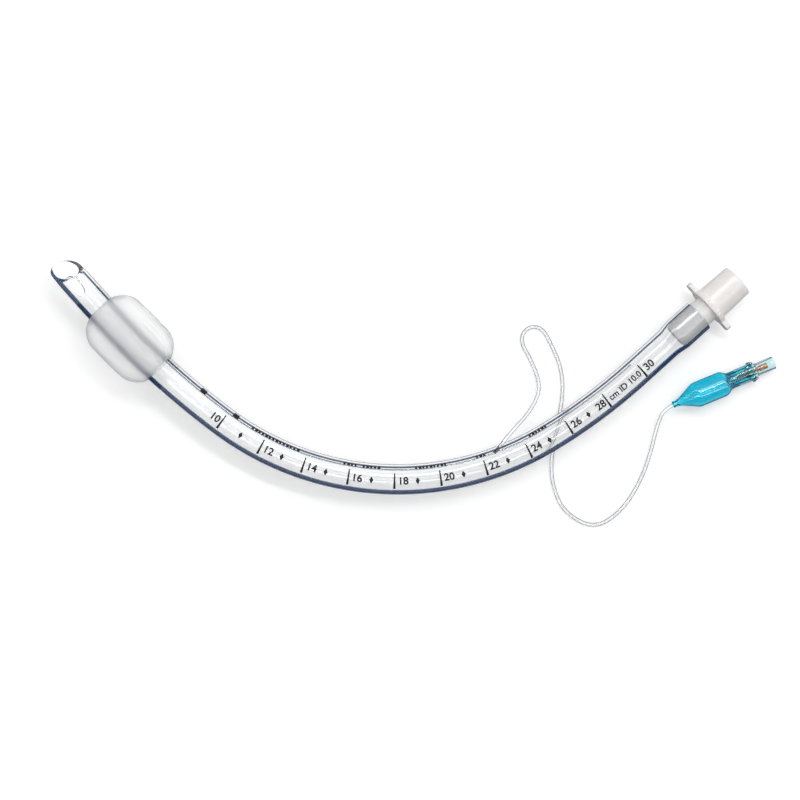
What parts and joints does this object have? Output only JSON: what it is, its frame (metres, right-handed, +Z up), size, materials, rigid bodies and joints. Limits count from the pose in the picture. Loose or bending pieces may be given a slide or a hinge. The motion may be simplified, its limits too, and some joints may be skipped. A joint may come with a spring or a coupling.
{
  "type": "endotracheal tube",
  "caption": "Cuffed tracheal tube: curved clear shaft with bevelled tip and side eye, inflated cuff, thin line to a pilot balloon with spring valve, and a 15 mm winged connector.",
  "frame": {"origin": "middle of the lowest level of the tube, cuff and connector, on the floor they lie on", "axes": "+X from the patient end towards the machine end, +Y towards the inside of the curve, +Z up from the floor"},
  "size_m": [0.3189, 0.1176, 0.0303],
  "materials": {
    "clear_pvc": "clear soft plastic, polished",
    "blue_pvc": "blue radiopaque plastic let into the wall",
    "cuff_film": "frosted thin film",
    "connector_plastic": "translucent natural plastic, moulded",
    "line_pvc": "clear soft plastic",
    "balloon_blue": "cyan soft plastic, glossy",
    "valve_blue": "deep blue-green hard plastic, transparent",
    "port_clear": "pale blue-green hard plastic, transparent",
    "plunger_orange": "moulded",
    "seal_rubber": "moulded",
    "spring_steel": "drawn wire"
  },
  "bodies": {
    "root": {"tube_shaft": "clear_pvc", "radiopaque_line": "blue_pvc", "cuff": "cuff_film", "connector_15mm": "connector_plastic", "inflation_line": "line_pvc", "pilot_balloon": "balloon_blue", "valve_body": "valve_blue", "valve_port": "port_clear", "valve_spring": "spring_steel"},
    "plunger": {"valve_plunger": "plunger_orange", "valve_seal": "seal_rubber"}
  },
  "joints": [
    {"name": "plunger_slide", "type": "slide", "parent": "root", "child": "plunger", "axis": [-0.921, -0.3815, 0.0791], "range_m": [0, 0.0018], "stiffness_N_per_m": 200, "springref_m": -0.002, "deforming": ["valve_spring"]}
  ]
}
